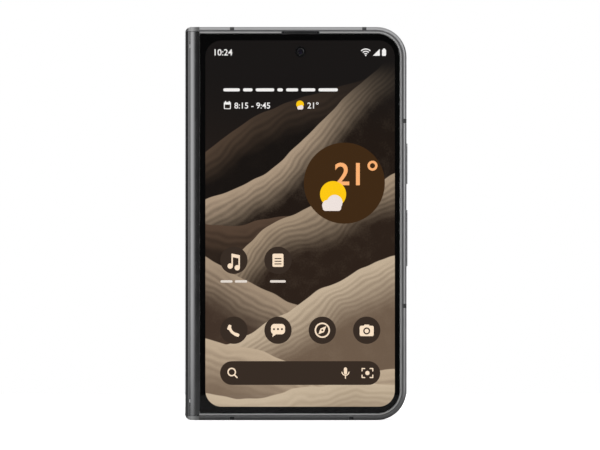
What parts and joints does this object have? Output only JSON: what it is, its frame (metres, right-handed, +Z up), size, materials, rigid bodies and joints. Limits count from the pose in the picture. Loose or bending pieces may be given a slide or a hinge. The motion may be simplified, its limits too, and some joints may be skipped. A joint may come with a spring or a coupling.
{
  "type": "foldable smartphone",
  "caption": "Book-style folding phone, folded shut, with a cover display, a spine hinge, inner folding display, camera bar, side keys and a card tray.",
  "frame": {"origin": "middle of the folded phone's bounding box, on the plane of its bottom edge", "axes": "+Z up along the phone's height, +X from the spine to the free edge, -Y out of the cover display"},
  "size_m": [0.079, 0.0142, 0.1397],
  "materials": {
    "band_metal": "polished grey steel",
    "hinge_metal": "polished grey steel",
    "spine_metal": "dark polished steel",
    "break_plastic": "dark moulded antenna break",
    "cover_glass": "clear polished glass",
    "back_glass": "dark satin glass, opaque from behind",
    "bar_glass": "dark polished glass",
    "screen": "display panel",
    "inner_screen": "dark glossy folding display",
    "inner_bezel": "black satin bezel",
    "camera_black": "black lens housing",
    "flash_lens": "pale diffuser",
    "battery_foil": "black foil pouch",
    "board": "circuit board",
    "shield": "stamped shield can",
    "coil_copper": "copper winding",
    "port_steel": "drawn steel shell",
    "speaker_black": "black moulded box",
    "gear_metal": "sintered gear",
    "pin_steel": "ground steel",
    "magnet_grey": "plated magnet",
    "flex_amber": "amber flexible circuit"
  },
  "bodies": {
    "rear_half": {"rear_frame": "band_metal", "rear_antenna_breaks": "break_plastic", "rear_hinge_strip": "hinge_metal", "rear_hinge_trims": "hinge_metal", "back_glass": "back_glass", "camera_bar": "band_metal", "camera_bar_glass": "bar_glass", "main_camera": "camera_black", "wide_camera": "camera_black", "telephoto_camera": "camera_black", "flash": "flash_lens", "rear_battery": "battery_foil", "main_board": "board", "board_shields": "shield", "charging_coil": "coil_copper", "charging_port": "port_steel", "port_board": "board", "loudspeaker": "speaker_black", "key_switches": "shield", "inner_camera": "camera_black", "rear_inner_bezel": "inner_bezel", "rear_inner_display": "inner_screen", "rear_hinge_arms": "pin_steel", "rear_sync_gears": "gear_metal", "rear_screws": "pin_steel", "rear_magnets": "magnet_grey"},
    "front_half": {"front_frame": "band_metal", "front_antenna_breaks": "break_plastic", "front_hinge_strip": "hinge_metal", "front_hinge_trims": "hinge_metal", "cover_glass": "cover_glass", "cover_display": "screen", "cover_camera": "camera_black", "earpiece": "speaker_black", "earpiece_grille": "break_plastic", "front_battery": "battery_foil", "front_board": "board", "vibration_motor": "shield", "card_reader": "shield", "front_inner_bezel": "inner_bezel", "front_inner_display": "inner_screen", "front_hinge_arms": "pin_steel", "front_sync_gears": "gear_metal", "front_screws": "pin_steel", "front_magnets": "magnet_grey"},
    "spine": {"spine_cover": "spine_metal", "spine_end_caps": "hinge_metal", "spine_backbone": "pin_steel", "hinge_brackets": "pin_steel", "hinge_pins": "pin_steel", "idler_shafts": "pin_steel", "torque_washers": "pin_steel", "hinge_bezel_caps": "inner_bezel", "display_bend": "inner_screen", "hinge_flex_cables": "flex_amber"},
    "front_idlers": {"front_idler_gears": "gear_metal"},
    "rear_idlers": {"rear_idler_gears": "gear_metal"},
    "power_key": {"power_key": "band_metal"},
    "volume_rocker": {"volume_rocker": "band_metal"},
    "card_tray": {"card_tray": "band_metal"}
  },
  "joints": [
    {"name": "fold", "type": "hinge", "parent": "rear_half", "child": "spine", "pos_m": [-0.03642, 0.00042, 0], "axis": [0, 0, -1], "range_deg": [0, 90], "deforming": ["display_bend"]},
    {"name": "front_fold", "type": "hinge", "parent": "spine", "child": "front_half", "pos_m": [-0.03642, -0.00263, 0], "axis": [0, 0, -1], "range_deg": [0, 90]},
    {"name": "front_idler_turn", "type": "hinge", "parent": "spine", "child": "front_idlers", "pos_m": [-0.03798, -0.00195, 0], "axis": [0, 0, 1], "range_deg": [0, 90]},
    {"name": "rear_idler_turn", "type": "hinge", "parent": "spine", "child": "rear_idlers", "pos_m": [-0.03798, -0.00025, 0], "axis": [0, 0, -1], "range_deg": [0, 90]},
    {"name": "power_press", "type": "slide", "parent": "rear_half", "child": "power_key", "axis": [-1, 0, 0], "range_m": [0, 0.0003], "stiffness_N_per_m": 3000, "springref_m": -0.0001},
    {"name": "volume_rock", "type": "hinge", "parent": "rear_half", "child": "volume_rocker", "pos_m": [0.03816, 0.00205, 0.0647], "axis": [0, 1, 0], "range_deg": [-1.2, 1.2], "stiffness_Nm_per_rad": 1},
    {"name": "tray_slide", "type": "slide", "parent": "front_half", "child": "card_tray", "axis": [0, 0, -1], "range_m": [0, 0.018]}
  ],
  "couplings": [
    {"joint": "front_fold", "follows": "fold", "ratio": 1},
    {"joint": "front_idler_turn", "follows": "fold", "ratio": 1},
    {"joint": "rear_idler_turn", "follows": "fold", "ratio": 1}
  ]
}
